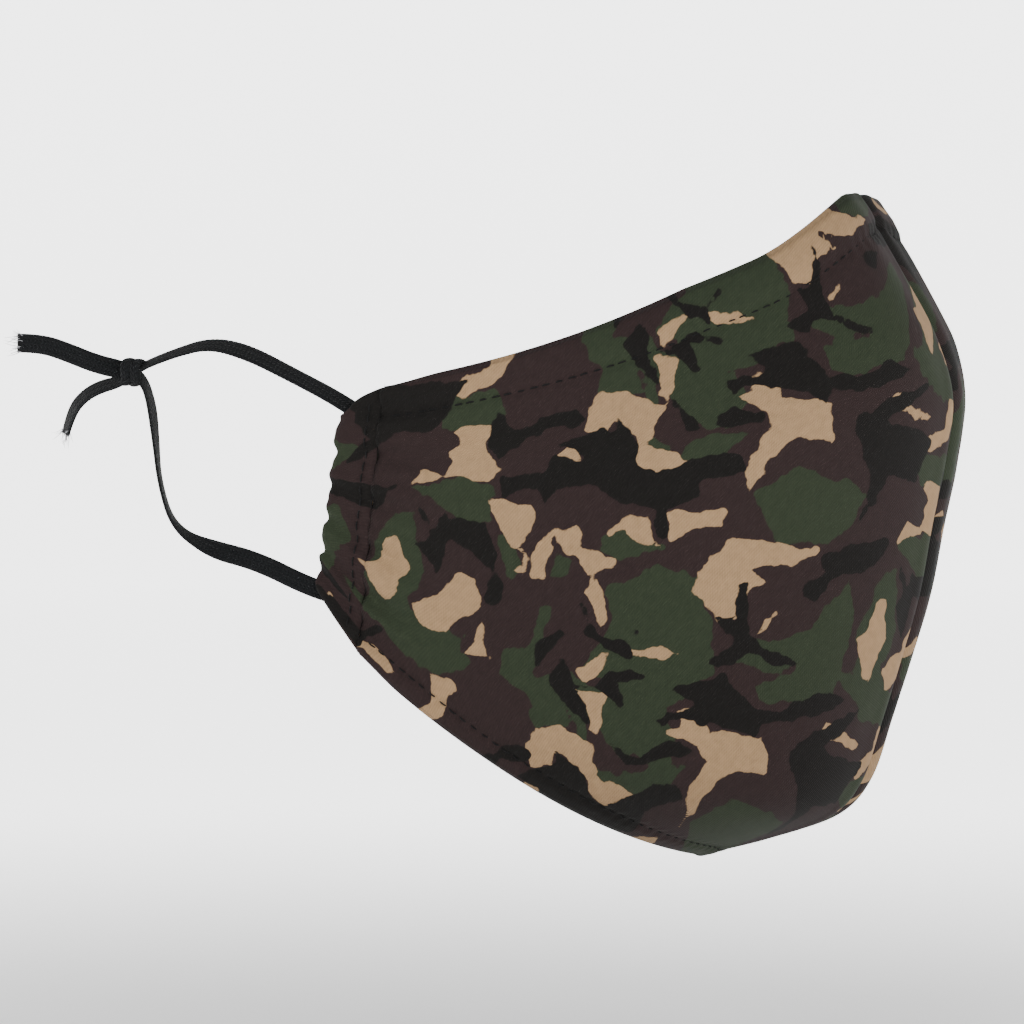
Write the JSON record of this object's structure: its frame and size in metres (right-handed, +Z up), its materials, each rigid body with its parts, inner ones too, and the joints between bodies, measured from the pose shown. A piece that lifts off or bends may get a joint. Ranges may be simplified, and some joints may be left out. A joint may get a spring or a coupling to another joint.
{
  "type": "cloth face mask",
  "caption": "Contoured two-panel cloth face mask in woodland camouflage print with a nose wire, gathered side casings and knotted elastic ear loops.",
  "frame": {"origin": "middle of the face opening: between the two side casings, level with their middle and their rear edges", "axes": "+Z up, the mask faces -Y, the wearer's right is -X, the centre seam lies in the plane X = 0"},
  "size_m": [0.1403, 0.1753, 0.1349],
  "materials": {
    "outer_cloth": "matt printed cotton twill",
    "lining_cloth": "matt plain cotton",
    "thread": "matt polyester thread",
    "elastic": "matt flat braid",
    "nose_wire": "bare, soft temper"
  },
  "bodies": {
    "mask_shell": {"nose_wire": "nose_wire", "seam_stitching": "thread", "outer_panel_right": "outer_cloth", "lining_panel_right": "lining_cloth", "top_hem_right": "outer_cloth", "bottom_hem_right": "outer_cloth", "seam_allowance_right": "outer_cloth", "top_stitching_right": "thread", "bottom_stitching_right": "thread", "outer_panel_left": "outer_cloth", "lining_panel_left": "lining_cloth", "top_hem_left": "outer_cloth", "bottom_hem_left": "outer_cloth", "seam_allowance_left": "outer_cloth", "top_stitching_left": "thread", "bottom_stitching_left": "thread"},
    "side_right": {"side_casing_right": "outer_cloth", "casing_elastic_right": "elastic", "casing_stitching_right": "thread"},
    "ear_loop_right": {"ear_loop_upper_right": "elastic", "ear_loop_lower_right": "elastic", "knot_tail_long_right": "elastic", "knot_tail_short_right": "elastic", "ear_loop_knot_right": "elastic"},
    "side_left": {"side_casing_left": "outer_cloth", "casing_elastic_left": "elastic", "casing_stitching_left": "thread"},
    "ear_loop_left": {"ear_loop_upper_left": "elastic", "ear_loop_lower_left": "elastic", "knot_tail_long_left": "elastic", "knot_tail_short_left": "elastic", "ear_loop_knot_left": "elastic"}
  },
  "joints": [
    {"name": "fold_flat_right", "type": "slide", "parent": "mask_shell", "child": "side_right", "axis": [1, 0, 0], "range_m": [0, 0.051]},
    {"name": "fold_flat_left", "type": "slide", "parent": "mask_shell", "child": "side_left", "axis": [-1, 0, 0], "range_m": [0, 0.051]},
    {"name": "ear_loop_right_swing", "type": "hinge", "parent": "side_right", "child": "ear_loop_right", "pos_m": [-0.057, -0.0032, 0.0191], "axis": [0, -0.1335, 0.991], "range_deg": [-12, 85]},
    {"name": "ear_loop_left_swing", "type": "hinge", "parent": "side_left", "child": "ear_loop_left", "pos_m": [0.057, -0.0032, 0.0191], "axis": [0, 0.1335, -0.991], "range_deg": [-12, 85]}
  ],
  "couplings": [
    {"joint": "fold_flat_left", "follows": "fold_flat_right", "ratio": 1}
  ]
}
